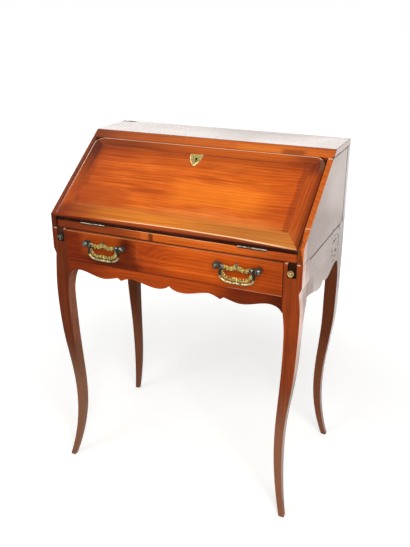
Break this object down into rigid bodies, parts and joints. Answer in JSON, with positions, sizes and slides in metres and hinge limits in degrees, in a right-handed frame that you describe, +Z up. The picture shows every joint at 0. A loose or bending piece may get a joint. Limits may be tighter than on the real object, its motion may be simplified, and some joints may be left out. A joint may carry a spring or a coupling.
{
  "type": "slant-front desk",
  "caption": "Slant-front writing desk on cabriole legs, with a hinged fall over a fitted interior, pull-out lopers and a long drawer with drop handles.",
  "frame": {"origin": "on the floor, below the middle of the desk with its handles", "axes": "+Z up, -Y to the front, +X to the right as the sitter sees it"},
  "size_m": [0.7, 0.4328, 0.945],
  "materials": {
    "show_wood": "french polished",
    "inner_wood": "satin",
    "brass": "aged",
    "steel": "dull"
  },
  "bodies": {
    "carcase": {"front_leg_left": "show_wood", "front_leg_right": "show_wood", "rear_leg_left": "show_wood", "rear_leg_right": "show_wood", "side_panel_left": "show_wood", "side_panel_right": "show_wood", "side_apron_left": "show_wood", "side_apron_right": "show_wood", "drawer_runner_left": "inner_wood", "drawer_runner_right": "inner_wood", "loper_guide_left": "inner_wood", "loper_guide_right": "inner_wood", "fall_stop_left": "show_wood", "fall_stop_right": "show_wood", "interior_divider_left": "inner_wood", "interior_divider_right": "inner_wood", "hinge_leaf_rail_left": "steel", "hinge_leaf_rail_right": "steel", "front_apron": "show_wood", "back_apron": "inner_wood", "back_panel": "inner_wood", "top_board": "show_wood", "lock_rail": "show_wood", "front_rail": "show_wood", "writing_bed": "inner_wood", "interior_shelf": "inner_wood", "hinge_pins": "steel", "hinge_screws_rail": "steel"},
    "fall": {"fall_panel": "show_wood", "fall_rail_top": "show_wood", "fall_rail_bottom": "show_wood", "fall_stile_left": "show_wood", "fall_stile_right": "show_wood", "lock_case": "steel", "escutcheon": "brass", "hinge_leaf_fall_left": "steel", "hinge_leaf_fall_right": "steel", "hinge_screws_fall": "steel"},
    "bolt": {"lock_bolt": "steel"},
    "drawer": {"drawer_front": "show_wood", "drawer_side_left": "inner_wood", "drawer_side_right": "inner_wood", "drawer_back": "inner_wood", "drawer_bottom": "inner_wood", "handle_posts_left": "brass", "handle_posts_right": "brass", "handle_nuts": "steel"},
    "handle_left": {"drop_handle_left": "brass"},
    "handle_right": {"drop_handle_right": "brass"},
    "loper_left": {"loper_left": "inner_wood", "loper_knob_left": "brass"},
    "loper_right": {"loper_right": "inner_wood", "loper_knob_right": "brass"},
    "small_drawer": {"small_drawer_front": "show_wood", "small_drawer_side_left": "inner_wood", "small_drawer_side_right": "inner_wood", "small_drawer_back": "inner_wood", "small_drawer_bottom": "inner_wood", "small_drawer_knob": "brass"}
  },
  "joints": [
    {"name": "fall_hinge", "type": "hinge", "parent": "carcase", "child": "fall", "pos_m": [0, -0.1841, 0.7465], "axis": [1, 0, 0], "range_deg": [0, 144.2]},
    {"name": "bolt_throw", "type": "slide", "parent": "fall", "child": "bolt", "axis": [0, 0.8111, 0.585], "range_m": [0, 0.008]},
    {"name": "drawer_slide", "type": "slide", "parent": "carcase", "child": "drawer", "axis": [0, -1, 0], "range_m": [0, 0.26]},
    {"name": "handle_left_swing", "type": "hinge", "parent": "drawer", "child": "handle_left", "pos_m": [-0.1815, -0.2048, 0.698], "axis": [-1, 0, 0], "range_deg": [0, 60]},
    {"name": "handle_right_swing", "type": "hinge", "parent": "drawer", "child": "handle_right", "pos_m": [0.1915, -0.2048, 0.698], "axis": [-1, 0, 0], "range_deg": [0, 60]},
    {"name": "loper_left_slide", "type": "slide", "parent": "carcase", "child": "loper_left", "axis": [0, -1, 0], "range_m": [0, 0.22]},
    {"name": "loper_right_slide", "type": "slide", "parent": "carcase", "child": "loper_right", "axis": [0, -1, 0], "range_m": [0, 0.22]},
    {"name": "small_drawer_slide", "type": "slide", "parent": "carcase", "child": "small_drawer", "axis": [0, -1, 0], "range_m": [0, 0.11]}
  ]
}
